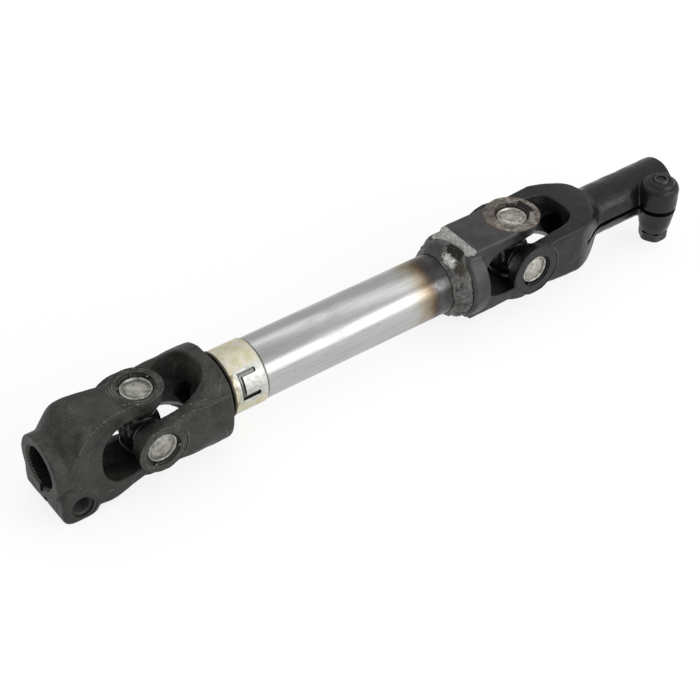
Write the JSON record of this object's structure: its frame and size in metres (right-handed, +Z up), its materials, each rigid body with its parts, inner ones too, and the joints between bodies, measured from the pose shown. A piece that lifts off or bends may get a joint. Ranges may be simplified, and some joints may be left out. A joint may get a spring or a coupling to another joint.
{
  "type": "steering shaft",
  "caption": "Telescoping steering shaft with a cross joint and a serrated clamp yoke at each end, joined by a splined slip shaft inside a welded tube.",
  "frame": {"origin": "middle of the footprint, on the surface that the shaft lies on", "axes": "+X along the shaft from the left clamp yoke to the right clamp yoke, +Z up"},
  "size_m": [0.362, 0.0472, 0.0465],
  "materials": {
    "black_phosphate": "matte black phosphate on forged steel",
    "dark_satin_steel": "dark grey satin on forged steel",
    "black_paint": "semi-gloss black on forged steel",
    "bright_steel": "drawn or ground bare steel",
    "cup_steel": "dull bright steel",
    "yellow_zinc": "pale yellow zinc plating",
    "black_rubber": "matte black",
    "white_nylon": "natural nylon",
    "weld_scale": "dark scale of a fillet weld",
    "black_bolt": "black bolt finish"
  },
  "bodies": {
    "tube_body": {"outer_tube": "bright_steel", "plated_collar": "yellow_zinc", "slide_bush": "white_nylon", "slip_seal": "black_rubber", "weld_bead": "weld_scale", "right_shaft_yoke": "dark_satin_steel", "right_cup_top": "cup_steel", "right_cup_bottom": "cup_steel"},
    "slip_shaft": {"inner_shaft": "bright_steel", "left_shaft_yoke": "black_phosphate", "left_cup_front": "cup_steel", "left_cup_back": "cup_steel"},
    "left_spider": {"left_cross": "bright_steel", "left_seal_top": "black_rubber", "left_seal_bottom": "black_rubber", "left_seal_front": "black_rubber", "left_seal_back": "black_rubber"},
    "left_clamp": {"left_clamp_yoke": "black_phosphate", "left_cup_top": "cup_steel", "left_cup_bottom": "cup_steel"},
    "right_spider": {"right_cross": "bright_steel", "right_seal_top": "black_rubber", "right_seal_bottom": "black_rubber", "right_seal_front": "black_rubber", "right_seal_back": "black_rubber"},
    "right_clamp": {"right_clamp_yoke": "black_paint", "right_cup_front": "cup_steel", "right_cup_back": "cup_steel", "clamp_bolt": "black_bolt"}
  },
  "joints": [
    {"name": "slip", "type": "slide", "parent": "tube_body", "child": "slip_shaft", "axis": [-1, 0, 0], "range_m": [0, 0.04]},
    {"name": "left_nod", "type": "hinge", "parent": "slip_shaft", "child": "left_spider", "pos_m": [-0.132, 0.00205, 0.025], "axis": [0, 1, 0], "range_deg": [-25, 25]},
    {"name": "left_swing", "type": "hinge", "parent": "left_spider", "child": "left_clamp", "pos_m": [-0.132, 0.00205, 0.025], "axis": [0, 0, 1], "range_deg": [-25, 25]},
    {"name": "right_swing", "type": "hinge", "parent": "tube_body", "child": "right_spider", "pos_m": [0.08, 0.00205, 0.025], "axis": [0, 0, 1], "range_deg": [-25, 25]},
    {"name": "right_nod", "type": "hinge", "parent": "right_spider", "child": "right_clamp", "pos_m": [0.08, 0.00205, 0.025], "axis": [0, 1, 0], "range_deg": [-25, 25]}
  ]
}
